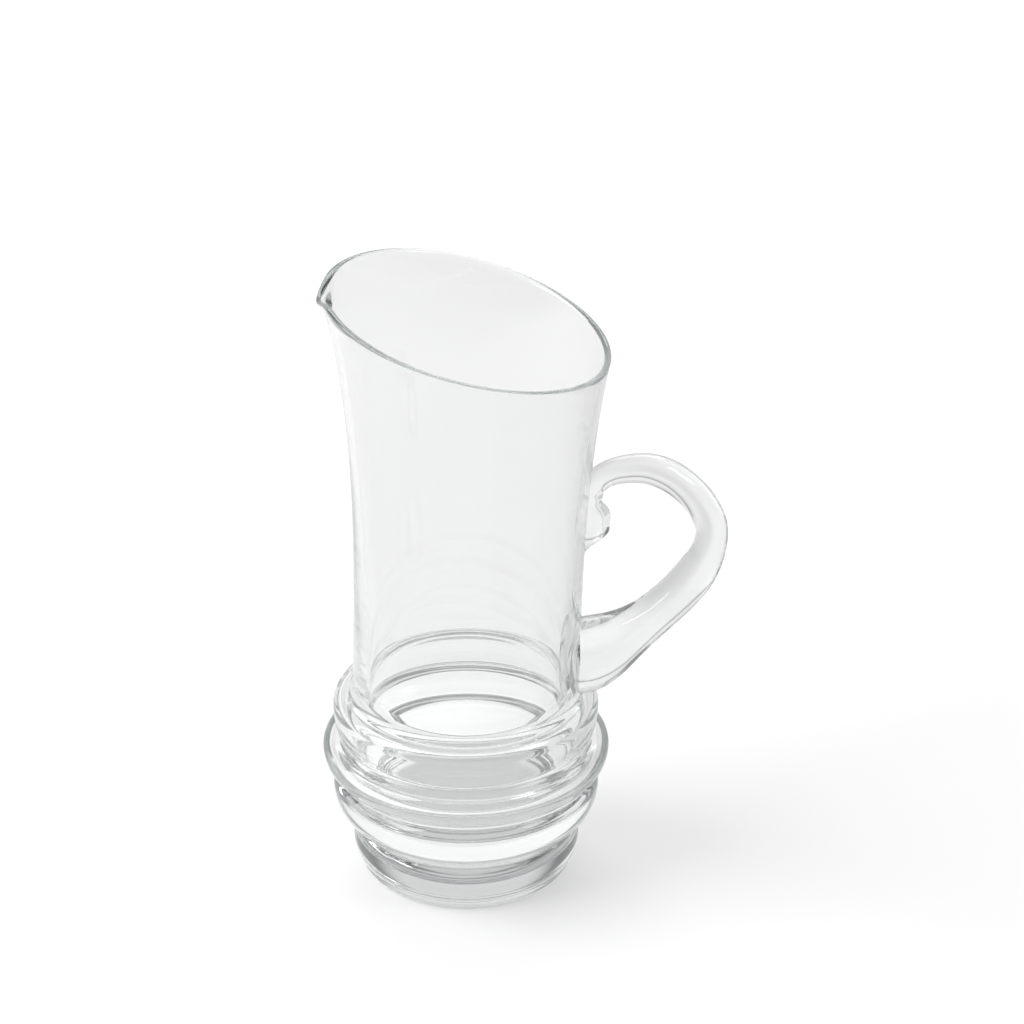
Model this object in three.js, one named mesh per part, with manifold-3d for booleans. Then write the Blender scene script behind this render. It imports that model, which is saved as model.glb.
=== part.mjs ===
// A hand-made pitcher of clear glass, in millimetres, with +Z up.
// The origin is the middle of the flat base. The handle points to +X and the pouring lip to -X.
import * as THREE from "three";
import Module from "manifold-3d";

// Foot: a heavy solid disc with a bowed side, a rounded bottom edge and a flat base.
const footRadius = 44.8;
const footHeight = 22.5;
const footEdgeRound = 5.2;
const footSideBulge = 3;

// Rings: three round bulges of the blown wall, with a crease pinched below each of them.
// A ring stands out by its bulge past the wider of its two creases, and its top is the height
// from its widest line up to the crease above it. The lower ring is solid, like the foot.
const footCreaseRadius = 45;
const lowerRingHeight = 23.3;
const lowerRingBulge = 4.8;
const lowerRingTop = 6.1;
const lowerCreaseRadius = 51.5;
const middleRingHeight = 16.8;
const middleRingBulge = 7.6;
const middleRingTop = 5.4;
const upperCreaseRadius = 53;
const upperRingHeight = 21;
const upperRingBulge = 3.1;
const upperRingTop = 6.8;
const ringThickness = 4.4;

// Bowl: the round bottom of the inside, sunk below the widest line of the middle ring.
const bowlDepth = 15.2;

// Wall: a tall tube that flares to the mouth and leans a little towards the handle.
// The mouth is wider across by mouthOval on each side than from the lip to the handle.
// The glass is thicker by wallSwell at the shoulder, which fades out up the wall.
const shoulderRadius = 47.8;
const mouthRadius = 59.7;
const mouthOval = 1.8;
const wallHeight = 171.8;
const flarePower = 3.1;
const wallLean = 4.2;
const glassThickness = 2.8;
const wallSwell = 3;
const wallSwellPower = 4;

// Rim and lip: the mouth is cut on a slant, and its high side is pulled out and down to pour.
const rimSlantDegrees = 14.1;
const lipHalfAngleDegrees = 10;
const lipReach = 1.8;
const lipDrop = 5;
const lipCurlLength = 6;
const throatDepth = 0.5;
const throatLength = 34;

// Handle: a solid rod drawn from a thick lower pad, looped over and stuck on again higher up.
const padHeight = 98.8;
const padRise = 0.34;
const padPull = 19.3;
const handleReach = 54.7;
const reachHeight = 157.2;
const reachPullBelow = 23.2;
const reachPullAbove = 12.6;
const crownOut = 24.6;
const crownRise = 13.6;
const crownPullOut = 14.9;
const crownPullIn = 13.9;
const weldHeight = 173.8;
const weldFall = 0.77;
const weldPull = 12;
const padHalfHeight = 17;
const padHalfWidth = 13;
const padFadeLength = 21.5;
const armHalf = 8.7;
const armEnd = 58;
const rodHalf = 6.8;
const rodStart = 84;
const neckHalf = 5;
const neckLength = 45;
const weldHalf = 10;
const weldFadeLength = 6;

// Tail: the rod's cut end, folded down along the wall and crimped once.
const tailRise = 5.2;
const tailLength = 31.5;
const tailThickness = 9.4;
const tailHalfWidth = 7;
const tailTaper = 12.5;
const crimpFall = 2.8;
const crimpDepth = 2.4;
const crimpHalfHeight = 3;

// The stuck joints: the handle stops this far short of the body's surface.
const weldGap = 0.3;

// Facet counts. The lip is narrow, so the columns of the body crowd towards it.
const bodyColumns = 56;
const lipCrowding = 0.55;
const stepsPerArc = 4;
const stepsPerRidge = 4;
const stepsPerWall = 10;
const stepsPerRim = 4;
const stepsPerFloor = 6;
const rodSides = 24;
const rodSteps = 44;
const tailSteps = 16;

// Heights that follow from the stacked foot, rings and wall.
const lowerCreaseHeight = footHeight + lowerRingHeight;
const upperCreaseHeight = lowerCreaseHeight + middleRingHeight;
const shoulderHeight = upperCreaseHeight + upperRingHeight;
const mouthHeight = shoulderHeight + wallHeight;
const lipAzimuth = Math.PI;

// The crown of the loop, the tail and its crimp are all set from the upper weld.
const crownHeight = weldHeight + crownRise;
const tailTop = weldHeight + tailRise;
const tailEnd = tailTop - tailLength;
const crimpHeight = weldHeight - crimpFall;

const degrees = THREE.MathUtils.degToRad;
const smooth = THREE.MathUtils.smoothstep;

// A bell curve: 1 at zero, near 0 past twice the width.
function bell(distance, width) {
  return Math.exp(-((distance / width) ** 2));
}

// A round bulge between two creases: the circle through both that rises by bulge in the middle.
function bulgeArc(lowCrease, highCrease, bulge) {
  const chord = highCrease.clone().sub(lowCrease);
  const outward = new THREE.Vector2(chord.y, -chord.x).normalize();
  const radius = (chord.lengthSq() / 4 + bulge * bulge) / (2 * bulge);
  const centre = lowCrease.clone().add(highCrease).multiplyScalar(0.5);
  centre.addScaledVector(outward, bulge - radius);
  const from = lowCrease.clone().sub(centre).angle();
  const to = highCrease.clone().sub(centre).angle();
  const start = from > to ? from - 2 * Math.PI : from;
  return { centre, radius, start, end: to };
}

// Points along a bulge from its lower crease to its upper one, set inside its surface by inset.
function arcPoints(arc, inset, steps) {
  const points = [];
  for (let i = 0; i <= steps; i++) {
    const angle = THREE.MathUtils.lerp(arc.start, arc.end, i / steps);
    const reach = arc.radius - inset;
    points.push(
      new THREE.Vector2(
        arc.centre.x + reach * Math.cos(angle),
        arc.centre.y + reach * Math.sin(angle),
      ),
    );
  }
  return points;
}

// The pinched lines between foot, rings and wall, as radius and height.
const footCrease = new THREE.Vector2(footCreaseRadius, footHeight);
const lowerCrease = new THREE.Vector2(lowerCreaseRadius, lowerCreaseHeight);
const upperCrease = new THREE.Vector2(upperCreaseRadius, upperCreaseHeight);
const shoulder = new THREE.Vector2(shoulderRadius, shoulderHeight);

const footArc = bulgeArc(
  new THREE.Vector2(footRadius, footEdgeRound),
  footCrease,
  footSideBulge,
);

// A ring has two arcs that meet upright at its widest line, each running to one of its creases.
function ringArcs(lowCrease, highCrease, bulge, top) {
  const widest = Math.max(lowCrease.x, highCrease.x) + bulge;
  const level = highCrease.y - top;
  const arcTo = (crease) => {
    const across = widest - crease.x;
    const radius = (across ** 2 + (crease.y - level) ** 2) / (2 * across);
    const centre = new THREE.Vector2(widest - radius, level);
    const angle = Math.atan2(crease.y - centre.y, crease.x - centre.x);
    return { centre, radius, angle };
  };
  const low = arcTo(lowCrease);
  const high = arcTo(highCrease);
  return {
    low: { centre: low.centre, radius: low.radius, start: low.angle, end: 0 },
    high: { centre: high.centre, radius: high.radius, start: 0, end: high.angle },
  };
}

const lowerRing = ringArcs(footCrease, lowerCrease, lowerRingBulge, lowerRingTop);
const middleRing = ringArcs(lowerCrease, upperCrease, middleRingBulge, middleRingTop);
const upperRing = ringArcs(upperCrease, shoulder, upperRingBulge, upperRingTop);

// The outside below the wall, from the edge of the flat base up to the shoulder.
function outerStack(grow) {
  const points = [];
  for (let i = 0; i < 4; i++) {
    const angle = (-Math.PI / 2) * (1 - i / 4);
    points.push(
      new THREE.Vector2(
        footRadius - footEdgeRound + (footEdgeRound + grow) * Math.cos(angle),
        footEdgeRound + (footEdgeRound + grow) * Math.sin(angle),
      ),
    );
  }
  points.push(...arcPoints(footArc, -grow, stepsPerArc).slice(0, -1));
  for (const ring of [lowerRing, middleRing, upperRing]) {
    points.push(...arcPoints(ring.low, -grow, stepsPerArc).slice(0, -1));
    points.push(...arcPoints(ring.high, -grow, stepsPerArc).slice(0, -1));
  }
  return points;
}

// The rounded ridge inside a crease, from the thickness above it to the thickness below it.
function ridgePoints(crease, startAngle, lowArc, thickAbove, thickBelow) {
  const down = Math.atan2(lowArc.centre.y - crease.y, lowArc.centre.x - crease.x);
  const endAngle = down < 0 ? down + 2 * Math.PI : down;
  const points = [];
  for (let i = 0; i < stepsPerRidge; i++) {
    const share = i / stepsPerRidge;
    const angle = THREE.MathUtils.lerp(startAngle, endAngle, share);
    const reach = THREE.MathUtils.lerp(thickAbove, thickBelow, share);
    points.push(
      new THREE.Vector2(crease.x + reach * Math.cos(angle), crease.y + reach * Math.sin(angle)),
    );
  }
  return points;
}

// The inside below the wall: down the two hollow rings and round the bowl to its middle.
function innerStack() {
  const wallFoot = glassThickness + wallSwell;
  const points = ridgePoints(shoulder, Math.PI, upperRing.high, wallFoot, ringThickness);
  points.push(...arcPoints(upperRing.high, ringThickness, stepsPerArc).reverse().slice(0, -1));
  points.push(...arcPoints(upperRing.low, ringThickness, stepsPerArc).reverse().slice(0, -1));
  const above = upperRing.low.centre;
  const ridgeStart = Math.atan2(above.y - upperCrease.y, above.x - upperCrease.x);
  points.push(
    ...ridgePoints(upperCrease, ridgeStart, middleRing.high, ringThickness, ringThickness),
  );
  points.push(...arcPoints(middleRing.high, ringThickness, stepsPerArc).reverse());
  const edge = points[points.length - 1];
  for (let i = 1; i < stepsPerFloor; i++) {
    const angle = (i / stepsPerFloor) * (Math.PI / 2);
    points.push(
      new THREE.Vector2(edge.x * Math.cos(angle), edge.y - bowlDepth * Math.sin(angle)),
    );
  }
  return points;
}

// How far up the wall a height is: 0 at the shoulder and 1 at the middle of the mouth.
function wallShare(height) {
  return Math.max(0, (height - shoulderHeight) / wallHeight);
}

function wallRadius(height) {
  const flare = mouthRadius - shoulderRadius;
  return shoulderRadius + flare * wallShare(height) ** flarePower;
}

function wallAxis(height) {
  return wallLean * wallShare(height);
}

function wallOval(height) {
  return mouthOval * wallShare(height) ** flarePower;
}

function rimHeight(azimuth) {
  const drop = Math.tan(degrees(rimSlantDegrees)) * mouthRadius;
  return mouthHeight - drop * Math.cos(azimuth);
}

// A point of the wall with the lip pulled out of it.
function wallPoint(azimuth, height, inset) {
  const radius = wallRadius(height) - inset;
  const point = new THREE.Vector3(
    wallAxis(height) + radius * Math.cos(azimuth),
    (radius + wallOval(height)) * Math.sin(azimuth),
    height,
  );
  const below = rimHeight(azimuth) - height;
  const beside = bell(azimuth - lipAzimuth, degrees(lipHalfAngleDegrees));
  const curl = beside * bell(below, lipCurlLength);
  const throat = beside * bell(below, throatLength);
  point.x -= lipReach * curl + throatDepth * throat;
  point.z -= lipDrop * curl;
  return point;
}

// One column of the body: up the outside, round over the rim and down the inside to the floor.
function bodyColumn(azimuth) {
  const turned = (p) =>
    new THREE.Vector3(p.x * Math.cos(azimuth), p.x * Math.sin(azimuth), p.y);
  const half = glassThickness / 2;
  const bead = rimHeight(azimuth) - half;
  const column = outerStack(0).map(turned);
  for (let i = 0; i <= stepsPerWall; i++) {
    const share = 1 - (1 - i / stepsPerWall) ** 1.6;
    const height = THREE.MathUtils.lerp(shoulderHeight, bead, share);
    column.push(wallPoint(azimuth, height, 0));
  }
  for (let i = 1; i < stepsPerRim; i++) {
    const angle = (i / stepsPerRim) * Math.PI;
    const inset = half - half * Math.cos(angle);
    column.push(wallPoint(azimuth, bead + half * Math.sin(angle), inset));
  }
  for (let i = stepsPerWall; i > 0; i--) {
    const share = 1 - (1 - i / stepsPerWall) ** 1.6;
    const height = THREE.MathUtils.lerp(shoulderHeight, bead, share);
    const swell = wallSwell * (1 - share) ** wallSwellPower;
    column.push(wallPoint(azimuth, height, glassThickness + swell));
  }
  column.push(...innerStack().map(turned));
  return column;
}

// The body's outside, grown by a gap and closed across the top: what the handle is cut against.
function envelopeColumn(azimuth) {
  const turned = (p) =>
    new THREE.Vector3(p.x * Math.cos(azimuth), p.x * Math.sin(azimuth), p.y);
  const column = outerStack(weldGap).map(turned);
  for (let i = 0; i <= stepsPerWall; i++) {
    const share = 1 - (1 - i / stepsPerWall) ** 1.6;
    const top = rimHeight(azimuth) - glassThickness / 2;
    const height = THREE.MathUtils.lerp(shoulderHeight, top, share);
    column.push(wallPoint(azimuth, height, -weldGap));
  }
  return column;
}

// Skins columns that run round the axis into one closed surface with a pole at each end.
function skinColumns(columnAt, lowPole, highPole) {
  const columns = [];
  for (let i = 0; i < bodyColumns; i++) {
    const turn = i / bodyColumns - 0.5;
    const crowded = turn - (lipCrowding * Math.sin(2 * Math.PI * turn)) / (2 * Math.PI);
    columns.push(columnAt(lipAzimuth + 2 * Math.PI * crowded));
  }
  return skin(columns, lowPole, highPole);
}

// Joins closed loops of points, one after another, and closes the two ends with a point each.
function skin(columns, lowPole, highPole) {
  const rows = columns[0].length;
  const positions = [];
  for (const column of columns)
    for (const p of column) positions.push(p.x, p.y, p.z);
  positions.push(lowPole.x, lowPole.y, lowPole.z, highPole.x, highPole.y, highPole.z);
  const low = columns.length * rows;
  const high = low + 1;
  const faces = [];
  for (let i = 0; i < columns.length; i++) {
    const here = i * rows;
    const next = ((i + 1) % columns.length) * rows;
    faces.push(low, next, here);
    for (let j = 0; j < rows - 1; j++) {
      faces.push(here + j, next + j, here + j + 1);
      faces.push(next + j, next + j + 1, here + j + 1);
    }
    faces.push(high, here + rows - 1, next + rows - 1);
  }
  const geometry = new THREE.BufferGeometry();
  geometry.setAttribute("position", new THREE.Float32BufferAttribute(positions, 3));
  geometry.setIndex(faces);
  return geometry;
}

// The route of the rod's middle line, in the plane of the lip and the handle.
function handlePath() {
  const out = (distance, height) =>
    new THREE.Vector3(wallAxis(padHeight) + wallRadius(padHeight) + distance, 0, height);
  const root = out(0, padHeight);
  const inside = root.clone().addScaledVector(new THREE.Vector3(-1, 0, 0), glassThickness);
  const reach = out(handleReach, reachHeight);
  const crown = out(crownOut, crownHeight);
  const weld = new THREE.Vector3(
    wallAxis(weldHeight) + wallRadius(weldHeight) - glassThickness / 2,
    0,
    weldHeight,
  );
  const along = (from, angle, length) =>
    new THREE.Vector3(from.x + length * Math.cos(angle), 0, from.z + length * Math.sin(angle));
  const path = new THREE.CurvePath();
  path.add(new THREE.LineCurve3(inside, root));
  path.add(
    new THREE.CubicBezierCurve3(
      root,
      along(root, padRise, padPull),
      along(reach, -Math.PI / 2, reachPullBelow),
      reach,
    ),
  );
  path.add(
    new THREE.CubicBezierCurve3(
      reach,
      along(reach, Math.PI / 2, reachPullAbove),
      along(crown, 0, crownPullOut),
      crown,
    ),
  );
  path.add(
    new THREE.CubicBezierCurve3(
      crown,
      along(crown, Math.PI, crownPullIn),
      along(weld, weldFall, weldPull),
      weld,
    ),
  );
  return path;
}

// The rod's half height and half width at a distance along its route.
function rodSection(distance, length) {
  const pad = bell(distance, padFadeLength);
  const arm = armHalf - (armHalf - rodHalf) * smooth(distance, armEnd, rodStart);
  const neck = (rodHalf - neckHalf) * smooth(distance, length - neckLength, length);
  const weld = (weldHalf - neckHalf) * bell(length - distance, weldFadeLength);
  return {
    high: arm - neck + weld + (padHalfHeight - armHalf) * pad,
    wide: arm - neck + weld + (padHalfWidth - armHalf) * pad,
  };
}

function rodGeometry() {
  const path = handlePath();
  const length = path.getLength();
  const sections = [];
  for (let i = 0; i <= rodSteps; i++) {
    const middle = path.getPointAt(i / rodSteps);
    const tangent = path.getTangentAt(i / rodSteps);
    const inPlane = new THREE.Vector3(-tangent.z, 0, tangent.x);
    const distance = Math.max(0, (length * i) / rodSteps - glassThickness);
    sections.push({ middle, inPlane, ...rodSection(distance, length - glassThickness) });
  }
  const columns = [];
  for (let side = 0; side < rodSides; side++) {
    const angle = (-2 * Math.PI * side) / rodSides;
    columns.push(
      sections.map((s) =>
        s.middle
          .clone()
          .addScaledVector(s.inPlane, s.high * Math.cos(angle))
          .add(new THREE.Vector3(0, s.wide * Math.sin(angle), 0)),
      ),
    );
  }
  return skin(columns, sections[0].middle, sections[rodSteps].middle);
}

// The tail hugs the wall: flat ovals stacked down the wall, as thick as the crimp leaves them.
function tailGeometry() {
  const columns = [];
  for (let side = 0; side < rodSides; side++) {
    const angle = (2 * Math.PI * side) / rodSides;
    const column = [];
    for (let i = 0; i <= tailSteps; i++) {
      const height = THREE.MathUtils.lerp(tailEnd, tailTop, i / tailSteps);
      const taper = smooth(height, tailEnd - tailTaper / 20, tailEnd + tailTaper);
      const crimp = crimpDepth * bell(height - crimpHeight, crimpHalfHeight);
      const thick = (tailThickness - crimp) * taper;
      const wide = tailHalfWidth * Math.sqrt(taper);
      column.push(
        new THREE.Vector3(
          wallAxis(height) + wallRadius(height) + thick * Math.cos(angle),
          wide * Math.sin(angle),
          height,
        ),
      );
    }
    columns.push(column);
  }
  const end = (height) =>
    new THREE.Vector3(wallAxis(height) + wallRadius(height), 0, height);
  return skin(columns, end(tailEnd), end(tailTop));
}

const wasm = await Module();
wasm.setup();

function toSolid(geometry) {
  return new wasm.Manifold(
    new wasm.Mesh({
      numProp: 3,
      vertProperties: new Float32Array(geometry.getAttribute("position").array),
      triVerts: new Uint32Array(geometry.index.array),
    }),
  );
}

function toGeometry(solid) {
  const mesh = solid.getMesh();
  const geometry = new THREE.BufferGeometry();
  geometry.setAttribute("position", new THREE.Float32BufferAttribute(mesh.vertProperties, 3));
  geometry.setIndex(new THREE.Uint32BufferAttribute(mesh.triVerts, 1));
  return geometry;
}

const floorMiddle = new THREE.Vector3(0, 0, middleRing.high.centre.y - bowlDepth);
const baseMiddle = new THREE.Vector3(0, 0, 0);
const mouthMiddle = new THREE.Vector3(wallAxis(mouthHeight), 0, mouthHeight);

const bodyGeometry = skinColumns(bodyColumn, baseMiddle, floorMiddle);
const envelope = toSolid(
  skinColumns(envelopeColumn, new THREE.Vector3(0, 0, -weldGap), mouthMiddle),
);
const handleGeometry = toGeometry(
  toSolid(rodGeometry()).add(toSolid(tailGeometry())).subtract(envelope),
);

const clearGlass = new THREE.MeshStandardMaterial({
  color: 0xe6efec,
  roughness: 0.03,
  metalness: 0,
  transparent: true,
  opacity: 0.35,
});

function piece(name, geometry) {
  geometry.computeVertexNormals();
  const mesh = new THREE.Mesh(geometry, clearGlass.clone());
  mesh.name = name;
  return mesh;
}

const pitcher = new THREE.Group();
pitcher.name = "glass_pitcher";
pitcher.add(piece("body", bodyGeometry));
pitcher.add(piece("handle", handleGeometry));

export default pitcher;
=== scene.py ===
import math

import bpy
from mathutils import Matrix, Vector


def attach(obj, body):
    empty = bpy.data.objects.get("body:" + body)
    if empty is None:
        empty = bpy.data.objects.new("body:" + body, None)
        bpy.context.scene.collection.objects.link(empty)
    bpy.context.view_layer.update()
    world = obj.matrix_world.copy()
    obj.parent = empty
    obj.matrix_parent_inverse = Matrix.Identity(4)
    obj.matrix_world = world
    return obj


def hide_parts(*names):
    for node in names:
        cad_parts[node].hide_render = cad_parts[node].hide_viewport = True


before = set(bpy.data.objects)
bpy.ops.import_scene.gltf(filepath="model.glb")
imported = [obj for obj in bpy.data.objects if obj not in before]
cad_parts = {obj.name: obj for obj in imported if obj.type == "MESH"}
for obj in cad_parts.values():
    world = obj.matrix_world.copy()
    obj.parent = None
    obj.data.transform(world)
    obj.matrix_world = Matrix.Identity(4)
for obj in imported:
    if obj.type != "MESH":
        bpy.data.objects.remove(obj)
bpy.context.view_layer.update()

# Body: the blown part of the pitcher, one gather of clear glass. Its foot and lowest ring are solid,
# the two rings above are hollow, and a flared wall rises to a slanted fire-polished rim with a small
# pulled lip. The tree turns one half profile round the axis, leans it, slants it and pulls the lip.
MM = 0.001

foot_radius = 44.8 * MM
foot_height = 22.5 * MM
foot_edge_round = 5.2 * MM
foot_side_bulge = 3.0 * MM
foot_crease_radius = 45.0 * MM
lower_ring_height = 23.3 * MM
lower_ring_bulge = 4.8 * MM
lower_ring_top = 6.1 * MM
lower_crease_radius = 51.5 * MM
middle_ring_height = 16.8 * MM
middle_ring_bulge = 7.6 * MM
middle_ring_top = 5.4 * MM
upper_crease_radius = 53.0 * MM
upper_ring_height = 21.0 * MM
upper_ring_bulge = 3.1 * MM
upper_ring_top = 6.8 * MM
crease_round = 1.4 * MM
shoulder_round = 2.5 * MM
shoulder_radius = 47.8 * MM
mouth_radius = 59.7 * MM
mouth_oval = 1.76 * MM
wall_height = 171.77 * MM
flare_power = 3.1
wall_lean = 4.2 * MM
glass_thickness = 2.8 * MM
wall_swell = 3.0 * MM
wall_swell_power = 4.0
ring_thickness = 4.4 * MM
bowl_depth = 15.2 * MM
rim_slant = math.radians(14.1)
lip_half_angle = math.radians(10.0)
lip_reach = 1.68 * MM
lip_drop = 5.0 * MM
lip_curl_length = 6.0 * MM
throat_depth = 0.5 * MM
throat_length = 34.0 * MM
lip_crowding = 0.55
body_columns = 180
base_shares = (0, 0.05, 0.3, 0.6, 0.85)
edge_step_degrees = 7
arc_step_degrees = 3.2
hollow_steps = 12
wall_steps = 56
bead_steps = 14
bowl_steps = 48
weld_distance = 0.001 * MM
glass_tint = (0.968, 0.971, 0.970)
thick_glass_tint = (0.655, 0.70, 0.695)
thick_glass_density = 4.0
glass_bend = 1.5
body_ripple_size = 30 * MM
body_ripple_height = 0.05 * MM

lower_crease_height = foot_height + lower_ring_height
upper_crease_height = lower_crease_height + middle_ring_height
shoulder_height = upper_crease_height + upper_ring_height
mouth_height = shoulder_height + wall_height
bead_half = glass_thickness / 2


def bulge_arc(low, high, bulge):
    """The circle through two creases that stands out by bulge halfway: its centre and radius."""
    chord = high - low
    outward = Vector((chord.y, -chord.x)).normalized()
    radius = (chord.length_squared / 4 + bulge * bulge) / (2 * bulge)
    return (low + high) / 2 + outward * (bulge - radius), radius


def crease_arc(low_ring, high_ring, rounding):
    """The centre of the small hollow circle that touches two ring circles from outside."""
    (low, low_radius), (high, high_radius) = low_ring, high_ring
    between = high - low
    gap = between.length
    near = low_radius + rounding
    far = high_radius + rounding
    along = (near * near - far * far + gap * gap) / (2 * gap)
    side = Vector((between.y, -between.x)).normalized()
    return low + between.normalized() * along + side * math.sqrt(near * near - along * along)


def arc_points(centre, radius, start, end, step_degrees):
    """Points on a circle from angle start to angle end, both of them kept."""
    steps = max(2, math.ceil(abs(end - start) / math.radians(step_degrees)))
    turns = [start + (end - start) * i / steps for i in range(steps + 1)]
    return [centre + Vector((math.cos(a), math.sin(a))) * radius for a in turns]


def bearing(centre, point):
    """The angle at which a point lies from a centre."""
    return math.atan2(point.y - centre.y, point.x - centre.x)


def flare_at(height):
    """How far the wall has spread from the shoulder's radius at a height."""
    share = max(0.0, (height - shoulder_height) / wall_height)
    return (mouth_radius - shoulder_radius) * share ** flare_power


foot_crease = Vector((foot_crease_radius, foot_height))
lower_crease = Vector((lower_crease_radius, lower_crease_height))
upper_crease = Vector((upper_crease_radius, upper_crease_height))
shoulder = Vector((shoulder_radius, shoulder_height))


def ring_arcs(low, high, bulge, top):
    """The two circles of a ring, below and above its widest line, each through one crease."""
    widest = max(low.x, high.x) + bulge
    level = high.y - top
    arcs = []
    for crease in (low, high):
        across = widest - crease.x
        radius = (across ** 2 + (crease.y - level) ** 2) / (2 * across)
        arcs.append((Vector((widest - radius, level)), radius))
    return arcs


foot_side = bulge_arc(Vector((foot_radius, foot_edge_round)), foot_crease, foot_side_bulge)
rings = [
    ring_arcs(foot_crease, lower_crease, lower_ring_bulge, lower_ring_top),
    ring_arcs(lower_crease, upper_crease, middle_ring_bulge, middle_ring_top),
    ring_arcs(upper_crease, shoulder, upper_ring_bulge, upper_ring_top),
]
tops = [foot_side] + [upper for lower, upper in rings]
hollows = [crease_arc(tops[i], rings[i][0], crease_round) for i in range(3)]
top_centre, top_radius = tops[3]
shoulder_hollow_x = shoulder_radius + shoulder_round
rise = math.sqrt((top_radius + shoulder_round) ** 2 - (shoulder_hollow_x - top_centre.x) ** 2)
hollows.append(Vector((shoulder_hollow_x, top_centre.y + rise)))
wall_start = hollows[3].y


def hollow_points(place, inset, wall_inset):
    """The small hollow above the foot or a ring, set inside the outer skin."""
    start = bearing(hollows[place], tops[place][0]) % math.tau
    end = math.pi
    rounding = shoulder_round
    if place < 3:
        rounding = crease_round
        end = bearing(hollows[place], rings[place][0][0]) % math.tau
    points = []
    for i in range(hollow_steps):
        angle = start + (end - start) * i / hollow_steps
        radius = rounding + inset + (wall_inset - inset) * i / hollow_steps
        points.append(hollows[place] + Vector((math.cos(angle), math.sin(angle))) * radius)
    return points


def ring_points(place, inset, start):
    """A ring from an angle below its widest line up to the crease above it."""
    (low, low_radius), (high, high_radius) = rings[place]
    end = bearing(high, hollows[place + 1])
    points = arc_points(low, low_radius - inset, start, 0, arc_step_degrees)[:-1]
    return points + arc_points(high, high_radius - inset, 0, end, arc_step_degrees)[:-1]


def wall_points(inset, swell):
    """The wall from the shoulder to the rim, set in by inset and by the swell near the shoulder."""
    points = []
    for i in range(wall_steps + 1):
        height = wall_start + (mouth_height - bead_half - wall_start) * i / wall_steps
        deeper = inset + swell * (1 - i / wall_steps) ** wall_swell_power
        points.append(Vector((shoulder_radius + flare_at(height) - deeper, height)))
    return points


flat_radius = foot_radius - foot_edge_round
profile = [Vector((flat_radius * share, 0)) for share in base_shares]
edge_centre = Vector((flat_radius, foot_edge_round))
profile += arc_points(edge_centre, foot_edge_round, -math.pi / 2, 0, edge_step_degrees)[:-1]
foot_start = bearing(foot_side[0], Vector((foot_radius, foot_edge_round)))
foot_end = bearing(foot_side[0], hollows[0])
profile += arc_points(*foot_side, foot_start, foot_end, arc_step_degrees)[:-1]
profile += hollow_points(0, 0, 0)
for place in range(3):
    profile += ring_points(place, 0, bearing(rings[place][0][0], hollows[place]))
    profile += hollow_points(place + 1, 0, 0)
profile += wall_points(0, 0)
bead_top = mouth_height - bead_half
for i in range(1, bead_steps):
    angle = math.pi * i / bead_steps
    height = bead_top + bead_half * math.sin(angle)
    inset = bead_half - bead_half * math.cos(angle)
    profile.append(Vector((shoulder_radius + flare_at(height) - inset, height)))
profile += wall_points(glass_thickness, wall_swell)[::-1]
middle_top, middle_top_radius = tops[2]
middle_end = bearing(middle_top, hollows[2])
inner_radius = middle_top_radius - ring_thickness
inner_rings = arc_points(middle_top, inner_radius, 0, middle_end, arc_step_degrees)[:-1]
inner_rings += hollow_points(2, ring_thickness, ring_thickness)
inner_rings += ring_points(2, ring_thickness, bearing(rings[2][0][0], hollows[2]))
inner_rings += hollow_points(3, ring_thickness, glass_thickness + wall_swell)
profile += inner_rings[::-1]
bowl_edge = inner_rings[0]
for i in range(1, bowl_steps + 1):
    angle = math.pi / 2 * i / bowl_steps
    fall = bowl_depth * math.sin(angle)
    profile.append(Vector((bowl_edge.x * math.cos(angle), bowl_edge.y - fall)))


class Measure:
    """A number that a node tree works out, so that sums on its sockets read as plain sums."""

    def __init__(self, tree, socket):
        self.tree = tree
        self.socket = socket

    def __add__(self, other):
        return reckon(self.tree, "ADD", self, other)

    def __sub__(self, other):
        return reckon(self.tree, "SUBTRACT", self, other)

    def __rsub__(self, other):
        return reckon(self.tree, "SUBTRACT", other, self)

    def __mul__(self, other):
        return reckon(self.tree, "MULTIPLY", self, other)

    def __truediv__(self, other):
        return reckon(self.tree, "DIVIDE", self, other)

    def __pow__(self, other):
        return reckon(self.tree, "POWER", self, other)

    def least(self, other):
        return reckon(self.tree, "MINIMUM", self, other)

    def most(self, other):
        return reckon(self.tree, "MAXIMUM", self, other)

    def cosine(self):
        return reckon(self.tree, "COSINE", self)

    def sine(self):
        return reckon(self.tree, "SINE", self)

    def whole(self):
        return reckon(self.tree, "FLOOR", self)

    def root(self):
        return reckon(self.tree, "SQRT", self)

    def bell(self, width):
        ratio = self / width
        return reckon(self.tree, "EXPONENT", (ratio * ratio) * -1.0)

    def ramp(self, low, high):
        """0 up to low and 1 from high, with a smooth rise between."""
        node = self.tree.nodes.new("ShaderNodeMapRange")
        node.interpolation_type = "SMOOTHSTEP"
        for place, value in (("Value", self), ("From Min", low), ("From Max", high)):
            feed(self.tree, value, node.inputs[place])
        return Measure(self.tree, node.outputs["Result"])


def feed(tree, value, socket):
    """Links a worked-out number to a socket, or sets a plain one on it."""
    if isinstance(value, Measure):
        tree.links.new(value.socket, socket)
    else:
        socket.default_value = value


def reckon(tree, operation, *values):
    """Adds one sum to a tree and gives its result."""
    node = tree.nodes.new("ShaderNodeMath")
    node.operation = operation
    for place, value in enumerate(values):
        feed(tree, value, node.inputs[place])
    return Measure(tree, node.outputs[0])


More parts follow.
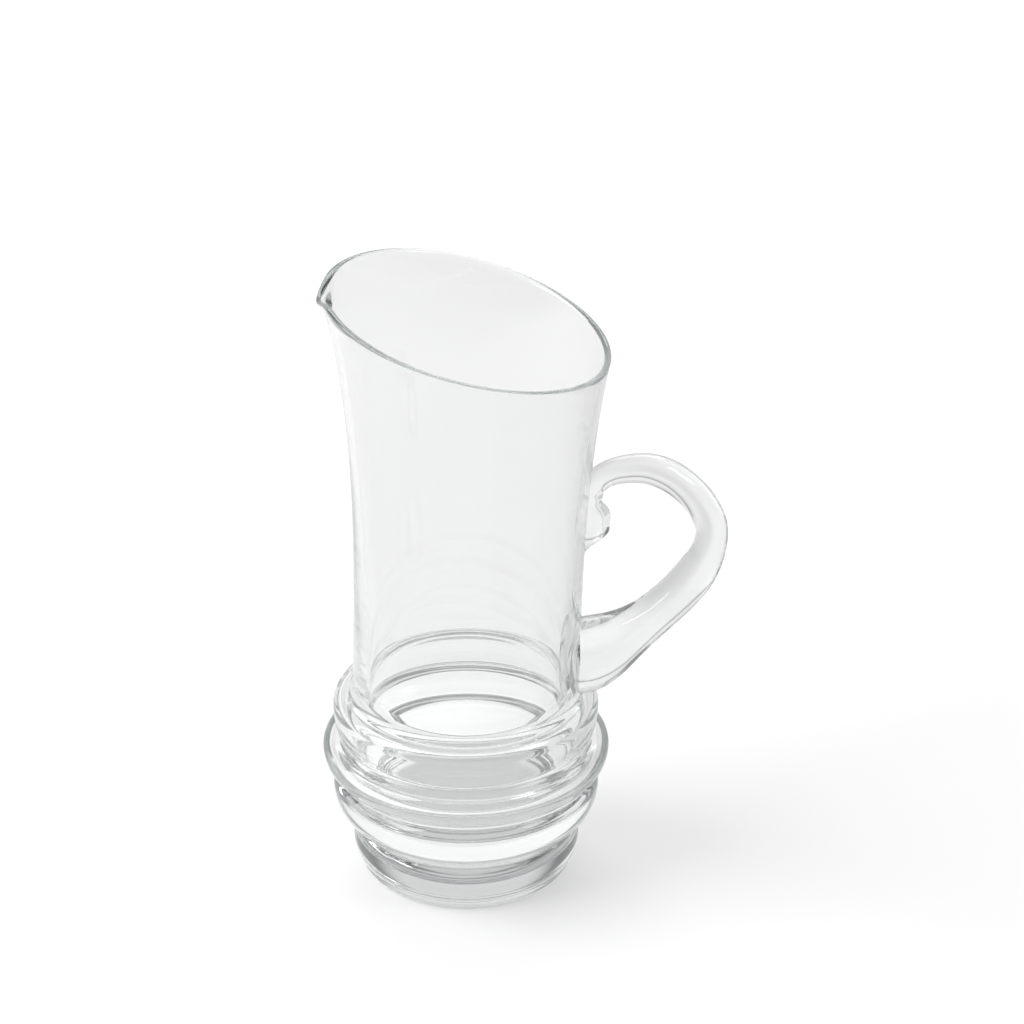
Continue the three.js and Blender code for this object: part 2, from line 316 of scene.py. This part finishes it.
def start_tree(name, sizes):
    """A node tree with one named input for each size, and the glass it is made of as the last."""
    tree = bpy.data.node_groups.new(name, "GeometryNodeTree")
    geometry = "NodeSocketGeometry"
    tree.interface.new_socket("Geometry", in_out="INPUT", socket_type=geometry)
    tree.interface.new_socket("Geometry", in_out="OUTPUT", socket_type=geometry)
    labels = {}
    for label, value in sizes.items():
        kind = "NodeSocketInt" if isinstance(value, int) else "NodeSocketFloat"
        labels[label] = tree.interface.new_socket(label, in_out="INPUT", socket_type=kind)
    labels["Glass"] = tree.interface.new_socket(
        "Glass", in_out="INPUT", socket_type="NodeSocketMaterial"
    )
    entry = tree.nodes.new("NodeGroupInput")
    measures = {label: Measure(tree, entry.outputs[label]) for label in sizes}
    return tree, entry, measures, labels


def skin_grid(tree, around, along):
    """A flat sheet of around by along cells: its node, and the column and row of each point."""
    sheet = tree.nodes.new("GeometryNodeMeshGrid")
    feed(tree, around + 1, sheet.inputs["Vertices X"])
    feed(tree, along, sheet.inputs["Vertices Y"])
    index = Measure(tree, tree.nodes.new("GeometryNodeInputIndex").outputs["Index"])
    column = (index / along).whole()
    return sheet, column, index - column * along


def close_tree(tree, entry, sheet, place):
    """Moves the sheet's points to their place, welds its edges and gives it its glass."""
    chain = [
        "GeometryNodeSetPosition",
        "GeometryNodeMergeByDistance",
        "GeometryNodeSetShadeSmooth",
        "GeometryNodeRealizeInstances",
        "GeometryNodeSetMaterial",
    ]
    last = sheet.outputs["Mesh"]
    for kind in chain:
        node = tree.nodes.new(kind)
        tree.links.new(last, node.inputs["Geometry"])
        last = node.outputs["Geometry"]
        if kind == "GeometryNodeSetPosition":
            tree.links.new(place, node.inputs["Position"])
        if kind == "GeometryNodeMergeByDistance":
            node.inputs["Distance"].default_value = weld_distance
        if kind == "GeometryNodeSetMaterial":
            tree.links.new(entry.outputs["Glass"], node.inputs["Material"])
    leave = tree.nodes.new("NodeGroupOutput")
    tree.links.new(last, leave.inputs["Geometry"])


def cooled(name, source, tree, labels, sizes, glass):
    """Runs the tree on a source object and keeps the result as a plain mesh object."""
    bpy.context.scene.collection.objects.link(source)
    modifier = source.modifiers.new("shape", "NODES")
    modifier.node_group = tree
    for label, value in sizes.items():
        modifier[labels[label].identifier] = value
    modifier[labels["Glass"].identifier] = glass
    bpy.context.view_layer.update()
    depsgraph = bpy.context.evaluated_depsgraph_get()
    mesh = bpy.data.meshes.new_from_object(source.evaluated_get(depsgraph))
    mesh.name = name
    bpy.data.objects.remove(source)
    piece = bpy.data.objects.new(name, mesh)
    bpy.context.scene.collection.objects.link(piece)
    return piece


def clear_glass(name, ripple_size, ripple_height):
    """Clear glass: a faint tint at the skin, a deeper one in thick glass, and hand-made ripples."""
    glass = bpy.data.materials.new(name)
    glass.use_nodes = True
    nodes = glass.node_tree.nodes
    links = glass.node_tree.links
    shader = nodes["Principled BSDF"]
    shader.inputs["Base Color"].default_value = (*glass_tint, 1)
    shader.inputs["Roughness"].default_value = 0.0
    shader.inputs["IOR"].default_value = glass_bend
    shader.inputs["Transmission Weight"].default_value = 1.0
    where = nodes.new("ShaderNodeTexCoord")
    ripple = nodes.new("ShaderNodeTexNoise")
    ripple.inputs["Scale"].default_value = 1 / ripple_size
    ripple.inputs["Detail"].default_value = 1.0
    bump = nodes.new("ShaderNodeBump")
    bump.inputs["Strength"].default_value = 1.0
    bump.inputs["Distance"].default_value = ripple_height
    links.new(where.outputs["Object"], ripple.inputs["Vector"])
    links.new(ripple.outputs["Fac"], bump.inputs["Height"])
    links.new(bump.outputs["Normal"], shader.inputs["Normal"])
    depth = nodes.new("ShaderNodeVolumeAbsorption")
    depth.inputs["Color"].default_value = (*thick_glass_tint, 1)
    depth.inputs["Density"].default_value = thick_glass_density
    links.new(depth.outputs["Volume"], nodes["Material Output"].inputs["Volume"])
    return glass


body_glass = clear_glass("clear_glass", body_ripple_size, body_ripple_height)

body_sizes = {
    "Columns": body_columns,
    "Lip Crowding": lip_crowding,
    "Shoulder Height": shoulder_height,
    "Shoulder Radius": shoulder_radius,
    "Wall Height": wall_height,
    "Mouth Radius": mouth_radius,
    "Mouth Oval": mouth_oval,
    "Flare Power": flare_power,
    "Wall Lean": wall_lean,
    "Bead Half": bead_half,
    "Rim Slant": rim_slant,
    "Lip Half Angle": lip_half_angle,
    "Lip Reach": lip_reach,
    "Lip Drop": lip_drop,
    "Lip Curl Length": lip_curl_length,
    "Throat Depth": throat_depth,
    "Throat Length": throat_length,
}
tree, entry, size, labels = start_tree("blown_body", body_sizes)
count = tree.nodes.new("GeometryNodeAttributeDomainSize")
tree.links.new(entry.outputs["Geometry"], count.inputs["Geometry"])
rows = Measure(tree, count.outputs["Point Count"])
sheet, column, row = skin_grid(tree, size["Columns"], rows)

turn = column / size["Columns"] - 0.5
crowd = (turn * math.tau).sine() * size["Lip Crowding"] / math.tau
from_lip = (turn - crowd) * math.tau
azimuth = from_lip + math.pi

spot = tree.nodes.new("GeometryNodeInputPosition")
sample = tree.nodes.new("GeometryNodeSampleIndex")
sample.data_type = "FLOAT_VECTOR"
tree.links.new(entry.outputs["Geometry"], sample.inputs["Geometry"])
tree.links.new(spot.outputs["Position"], sample.inputs["Value"])
feed(tree, row, sample.inputs["Index"])
parts = tree.nodes.new("ShaderNodeSeparateXYZ")
tree.links.new(sample.outputs["Value"], parts.inputs["Vector"])
plain_radius = Measure(tree, parts.outputs["X"])
plain_height = Measure(tree, parts.outputs["Z"])

slope = reckon(tree, "TANGENT", size["Rim Slant"])
plain_rim = size["Shoulder Height"] + size["Wall Height"]
rim_here = plain_rim - slope * size["Mouth Radius"] * azimuth.cosine()
plain_bead = plain_rim - size["Bead Half"]
below_bead = plain_height.least(plain_bead)
up_wall = (below_bead - size["Shoulder Height"]).most(0.0) / (size["Wall Height"] - size["Bead Half"])
climb = rim_here - size["Bead Half"] - size["Shoulder Height"]
height = below_bead.least(size["Shoulder Height"]) + up_wall * climb + (plain_height - below_bead)
widening = size["Mouth Radius"] - size["Shoulder Radius"]
plain_share = (plain_height - size["Shoulder Height"]).most(0.0) / size["Wall Height"]
share = (height - size["Shoulder Height"]).most(0.0) / size["Wall Height"]
flare = share ** size["Flare Power"]
radius = plain_radius + widening * (flare - plain_share ** size["Flare Power"])

below_rim = rim_here - height
beside_lip = from_lip.bell(size["Lip Half Angle"])
curl = beside_lip * below_rim.bell(size["Lip Curl Length"])
throat = beside_lip * below_rim.bell(size["Throat Length"])
pulled = size["Lip Reach"] * curl + size["Throat Depth"] * throat
place = tree.nodes.new("ShaderNodeCombineXYZ")
feed(tree, size["Wall Lean"] * share + radius * azimuth.cosine() - pulled, place.inputs["X"])
feed(tree, (radius + size["Mouth Oval"] * flare) * azimuth.sine(), place.inputs["Y"])
feed(tree, height - size["Lip Drop"] * curl, place.inputs["Z"])
close_tree(tree, entry, sheet, place.outputs["Vector"])

profile_mesh = bpy.data.meshes.new("body_profile")
profile_spots = [(point.x, 0, point.y) for point in profile]
profile_edges = [(i, i + 1) for i in range(len(profile) - 1)]
profile_mesh.from_pydata(profile_spots, profile_edges, [])
body = cooled(
    "body_glass",
    bpy.data.objects.new("body_profile", profile_mesh),
    tree,
    labels,
    body_sizes,
    body_glass,
)
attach(body, "root")
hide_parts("body")

# Handle: a second gather of the same clear glass, drawn to a solid rod while it was soft. Its thick
# lower pad was stuck to the wall first, then the rod was looped over, pressed on higher up, folded
# down along the wall and pinched once.
pad_height = 98.8 * MM
pad_rise = 0.34
pad_pull = 19.3 * MM
handle_reach = 54.63 * MM
reach_height = 157.2 * MM
reach_pull_below = 23.2 * MM
reach_pull_above = 12.6 * MM
crown_out = 24.6 * MM
crown_height = 187.4 * MM
crown_pull_out = 14.9 * MM
crown_pull_in = 12.0 * MM
fold_height = 172.0 * MM
fold_pull_above = 11.0 * MM
fold_pull_below = 6.0 * MM
tail_end_height = 147.5 * MM
tail_blend_from = 0.75
tail_blend_to = 1.35
end_pull_share = 0.3
route_steps = 64
rod_sides = 72
rod_steps = 420
pad_face_steps = 20
handle_ripple_size = 24 * MM
handle_ripple_height = 0.02 * MM


def wall_outside(height):
    """How far out the wall's outer skin is on the handle's side at a height."""
    share = max(0.0, (height - shoulder_height) / wall_height)
    return shoulder_radius + flare_at(height) + wall_lean * share


def step_from(point, angle, length):
    """The place a length away from a point, at an angle in the handle's plane."""
    return point + Vector((math.cos(angle), 0, math.sin(angle))) * length


pad_root = Vector((wall_outside(pad_height), 0, pad_height))
reach = pad_root + Vector((handle_reach, 0, reach_height - pad_height))
crown = pad_root + Vector((crown_out, 0, crown_height - pad_height))
fold = Vector((wall_outside(fold_height), 0, fold_height))
tail_end = Vector((wall_outside(tail_end_height), 0, tail_end_height))
inside_root = pad_root - Vector((glass_thickness, 0, 0))
straight_down = -math.pi / 2
stations = [
    (inside_root, inside_root, inside_root.lerp(pad_root, end_pull_share)),
    (
        pad_root,
        pad_root.lerp(inside_root, end_pull_share),
        step_from(pad_root, pad_rise, pad_pull),
    ),
    (
        reach,
        step_from(reach, straight_down, reach_pull_below),
        step_from(reach, -straight_down, reach_pull_above),
    ),
    (
        crown,
        step_from(crown, 0, crown_pull_out),
        step_from(crown, math.pi, crown_pull_in),
    ),
    (
        fold,
        step_from(fold, -straight_down, fold_pull_above),
        step_from(fold, straight_down, fold_pull_below),
    ),
    (tail_end, tail_end.lerp(fold, end_pull_share), tail_end),
]
route = bpy.data.curves.new("handle_route", "CURVE")
route.dimensions = "3D"
route.resolution_u = route_steps
line = route.splines.new("BEZIER")
line.bezier_points.add(len(stations) - 1)
for knot, (middle, before, after) in zip(line.bezier_points, stations):
    knot.handle_left_type = "FREE"
    knot.handle_right_type = "FREE"
    knot.co = middle
    knot.handle_left = before
    knot.handle_right = after

handle_sizes = {
    "Sides": rod_sides,
    "Steps": rod_steps,
    "Pad Face Steps": pad_face_steps,
    "Pad Half Height": 17.0 * MM,
    "Pad Half Width": 13.0 * MM,
    "Pad Fade Length": 21.5 * MM,
    "Arm Half": 8.7 * MM,
    "Arm End": 58.0 * MM,
    "Rod Half": 6.8 * MM,
    "Rod Start": 84.0 * MM,
    "Neck Half": 5.0 * MM,
    "Neck Length": 45.0 * MM,
    "Tail Thickness": 9.4 * MM,
    "Tail Half Width": 7.0 * MM,
    "Tail Length": 24.5 * MM,
    "Tail Taper": 12.5 * MM,
    "Pinch Depth": 2.4 * MM,
    "Pinch Half Height": 3.0 * MM,
    "Sink": 0.3 * MM,
    "Shoulder Height": shoulder_height,
    "Shoulder Radius": shoulder_radius,
    "Wall Height": wall_height,
    "Mouth Radius": mouth_radius,
    "Mouth Oval": mouth_oval,
    "Flare Power": flare_power,
    "Wall Lean": wall_lean,
}
tree, entry, size, labels = start_tree("drawn_handle", handle_sizes)
sheet, column, row = skin_grid(tree, size["Sides"], size["Steps"] + size["Pad Face Steps"] + 1)
length_node = tree.nodes.new("GeometryNodeCurveLength")
tree.links.new(entry.outputs["Geometry"], length_node.inputs["Curve"])
length = Measure(tree, length_node.outputs["Length"])
along = (row - size["Pad Face Steps"]).most(0.0) / size["Steps"]
pad_face = (row / size["Pad Face Steps"]).least(1.0)
follow = tree.nodes.new("GeometryNodeSampleCurve")
follow.mode = "FACTOR"
tree.links.new(entry.outputs["Geometry"], follow.inputs["Curves"])
feed(tree, along, follow.inputs["Factor"])
middle_parts = tree.nodes.new("ShaderNodeSeparateXYZ")
tree.links.new(follow.outputs["Position"], middle_parts.inputs["Vector"])
way_parts = tree.nodes.new("ShaderNodeSeparateXYZ")
tree.links.new(follow.outputs["Tangent"], way_parts.inputs["Vector"])
middle_x = Measure(tree, middle_parts.outputs["X"])
middle_z = Measure(tree, middle_parts.outputs["Z"])
way_x = Measure(tree, way_parts.outputs["X"])
way_z = Measure(tree, way_parts.outputs["Z"])

gone = (along * length - glass_thickness).most(0.0)
left = (1.0 - along) * length
pad = gone.bell(size["Pad Fade Length"])
thinned = gone.ramp(size["Arm End"], size["Rod Start"])
arm = size["Arm Half"] - (size["Arm Half"] - size["Rod Half"]) * thinned
neck_share = 1.0 - left.ramp(size["Tail Length"], size["Tail Length"] + size["Neck Length"])
rod = arm - (size["Rod Half"] - size["Neck Half"]) * neck_share
blend_from = size["Tail Length"] * tail_blend_from
blend_to = size["Tail Length"] * tail_blend_to
tail_share = 1.0 - left.ramp(blend_from, blend_to)
pinch = size["Pinch Depth"] * (left - size["Tail Length"]).bell(size["Pinch Half Height"])
taper = left.ramp(0.0, size["Tail Taper"])
tail_high = (size["Tail Thickness"] - rod) * tail_share
tail_wide = (size["Tail Half Width"] - rod) * tail_share
pad_high = (size["Pad Half Height"] - size["Arm Half"]) * pad
pad_wide = (size["Pad Half Width"] - size["Arm Half"]) * pad
high = (rod + tail_high + pad_high - pinch) * taper * pad_face
wide = (rod + tail_wide + pad_wide) * taper.root() * pad_face

angle = column / size["Sides"] * -math.tau
out = high * angle.cosine()
loose_x = middle_x - way_z * out
loose_y = wide * angle.sine()
loose_z = middle_z + way_x * out

share = (loose_z - size["Shoulder Height"]).most(0.0) / size["Wall Height"]
flare = share ** size["Flare Power"]
skin = size["Shoulder Radius"] + (size["Mouth Radius"] - size["Shoulder Radius"]) * flare
skin_y = skin + size["Mouth Oval"] * flare
axis = size["Wall Lean"] * share
over_y = loose_y / skin_y
sunk = 1.0 - size["Sink"] / skin
weld_x = axis + skin * (sunk * sunk - over_y * over_y).root()
place = tree.nodes.new("ShaderNodeCombineXYZ")
feed(tree, loose_x.most(weld_x), place.inputs["X"])
feed(tree, loose_y, place.inputs["Y"])
feed(tree, loose_z, place.inputs["Z"])
close_tree(tree, entry, sheet, place.outputs["Vector"])

handle_glass = clear_glass("handle_glass", handle_ripple_size, handle_ripple_height)
handle = cooled(
    "handle_glass",
    bpy.data.objects.new("handle_route", route),
    tree,
    labels,
    handle_sizes,
    handle_glass,
)
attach(handle, "root")
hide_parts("handle")

# Floor: a wide matt white sheet that the pitcher stands on and that takes its soft shadow. A look
# at it is lifted to white. Through the glass the lift paints light and shade: a painted pool of light
# near the foot, and painted shade on the side away from the main lamp and far off.
floor_radius = 14.0
floor_drop = 0.2 * MM
floor_corners = 96
floor_grey = 0.50
painted_light_pool_span = (60 * MM, 180 * MM)
shaded_span = (60 * MM, 150 * MM)
shaded_fade = (0.35, 0.7)
far_span = (0.8, 2.0)
straight_lift = 0.42
straight_far_lift = 0.4
glass_lift = 0.245
# Painted light and shade seen only through the glass: a lighter pool near the foot, shade on the side
# away from the main lamp and far off.
glass_painted_light_pool = 0.25
glass_shaded_loss = 0.16
glass_far_painted_shade = 0.12
floor_mesh = bpy.data.meshes.new("floor")
floor_turns = [math.tau * i / floor_corners for i in range(floor_corners)]
floor_mesh.from_pydata(
    [(floor_radius * math.cos(a), floor_radius * math.sin(a), -floor_drop) for a in floor_turns],
    [],
    [list(range(floor_corners))],
)
floor = bpy.data.objects.new("floor", floor_mesh)
bpy.context.scene.collection.objects.link(floor)
floor_white = bpy.data.materials.new("floor_white")
floor_white.use_nodes = True
floor_tree = floor_white.node_tree
nodes = floor_tree.nodes
links = floor_tree.links
nodes.remove(nodes["Principled BSDF"])
matt = nodes.new("ShaderNodeBsdfDiffuse")
matt.inputs["Color"].default_value = (floor_grey, floor_grey, floor_grey, 1)
lift = nodes.new("ShaderNodeEmission")
lift.inputs["Color"].default_value = (1, 1, 1, 1)
path = nodes.new("ShaderNodeLightPath")
straight = Measure(floor_tree, path.outputs["Is Camera Ray"])
refracted = Measure(floor_tree, path.outputs["Is Transmission Ray"])
mirrored = Measure(floor_tree, path.outputs["Is Glossy Ray"])
by_glass = (refracted + mirrored).least(1.0)
floor_spot = nodes.new("ShaderNodeTexCoord")
floor_parts = nodes.new("ShaderNodeSeparateXYZ")
links.new(floor_spot.outputs["Object"], floor_parts.inputs["Vector"])
floor_x, floor_y = (Measure(floor_tree, floor_parts.outputs[axis]) for axis in "XY")
from_foot = (floor_x * floor_x + floor_y * floor_y).root()
# For rays through the glass: a painted pool of light near the foot, painted shade on the side away
# from the main lamp, and painted shade far off.
painted_light_pool = 1.0 - from_foot.ramp(*painted_light_pool_span)
shaded = floor_x.ramp(*shaded_span) * (1.0 - from_foot.ramp(*shaded_fade))
far = from_foot.ramp(*far_span)
seen_straight = far * straight_far_lift + straight_lift
painted_shade_by_glass = shaded * glass_shaded_loss + far * glass_far_painted_shade
seen_by_glass = painted_light_pool * glass_painted_light_pool + glass_lift - painted_shade_by_glass
feed(floor_tree, straight * seen_straight + by_glass * seen_by_glass, lift.inputs["Strength"])
both = nodes.new("ShaderNodeAddShader")
links.new(matt.outputs["BSDF"], both.inputs[0])
links.new(lift.outputs["Emission"], both.inputs[1])
links.new(both.outputs["Shader"], nodes["Material Output"].inputs["Surface"])
floor_mesh.materials.append(floor_white)

# Studio: a dim grey room that is white low down behind the pitcher, with a pale panel at the back
# and a pale ceiling, and three soft boxes. The two large boxes are not seen through the glass, so
# that it gets dark edges and pale reflections. Light runs on inside thick glass for many turns.
room_glow = 0.2
low_glow = 0.7
panel_glow = 0.55
ceiling_glow = 0.55
low_end = (0.12, 0.35)
ceiling_start = (0.66, 0.88)
low_sides = (-0.2, 0.3)
panel_sides = (0.72, 0.93)
least_level = 0.001
lamp_aim = Vector((0, 0, 0.1))
light_turns = 160
room = bpy.data.worlds.new("studio_room")
bpy.context.scene.world = room
room.use_nodes = True
backing = room.node_tree.nodes["Background"]
backing.inputs["Color"].default_value = (1, 1, 1, 1)
room_look = room.node_tree.nodes.new("ShaderNodeTexCoord")
room_parts = room.node_tree.nodes.new("ShaderNodeSeparateXYZ")
room.node_tree.links.new(room_look.outputs["Generated"], room_parts.inputs["Vector"])
look_x, look_y, look_up = (Measure(room.node_tree, room_parts.outputs[axis]) for axis in "XYZ")
level_way = (look_x * look_x + look_y * look_y).root().most(least_level)
behind = look_y / level_way
above_low = look_up.ramp(*low_end)
ceiling = look_up.ramp(*ceiling_start)
low_white = behind.ramp(*low_sides) * (1.0 - above_low)
back_panel = behind.ramp(*panel_sides) * above_low * (1.0 - ceiling)
glow = low_white * low_glow + back_panel * panel_glow + ceiling * ceiling_glow + room_glow
path = room.node_tree.nodes.new("ShaderNodeLightPath")
plain = Measure(room.node_tree, path.outputs["Is Camera Ray"])
feed(room.node_tree, glow + plain * (1.0 - glow), backing.inputs["Strength"])


def soft_box(name, place, width, height, watts, through_glass):
    """A soft box that looks at the pitcher, and is seen through glass or not."""
    lamp = bpy.data.lights.new(name, "AREA")
    lamp.shape = "RECTANGLE"
    lamp.size = width
    lamp.size_y = height
    lamp.energy = watts
    box = bpy.data.objects.new(name, lamp)
    box.location = place
    box.rotation_euler = (lamp_aim - Vector(place)).to_track_quat("-Z", "Y").to_euler()
    box.visible_transmission = through_glass
    bpy.context.scene.collection.objects.link(box)


soft_box("left_box", (-1.6, -0.3, 1.3), width=2.2, height=1.3, watts=52, through_glass=False)
soft_box("right_box", (1.7, -0.7, 1.6), width=0.8, height=1.2, watts=10, through_glass=True)
soft_box("back_box", (0.0, 1.9, 2.0), width=2.4, height=1.2, watts=24, through_glass=False)

paths = bpy.context.scene.cycles
paths.max_bounces = light_turns
paths.glossy_bounces = light_turns
paths.transmission_bounces = light_turns

# Camera: the photograph's view, from in front of the pitcher and 27.5 degrees above the table. It is
# a long lens from far off, so that the pitcher's upright lines stay nearly parallel.
camera_aim = Vector((19.53 * MM, 0, 166.9 * MM))
camera_rise = math.radians(27.5)
camera_distance = 2.5
lens_in_pixels = 6010
picture_pixels = 1024
lens = bpy.data.cameras.new("camera")
lens.sensor_width = 36.0
lens.lens = lens_in_pixels / picture_pixels * lens.sensor_width
lens.clip_end = 100.0
camera = bpy.data.objects.new("camera", lens)
camera_way = Vector((0, -math.cos(camera_rise), math.sin(camera_rise)))
camera.location = camera_aim + camera_distance * camera_way
camera.rotation_euler = (camera_aim - camera.location).to_track_quat("-Z", "Y").to_euler()
bpy.context.scene.collection.objects.link(camera)
bpy.context.scene.camera = camera
bpy.context.scene.view_settings.view_transform = "Standard"
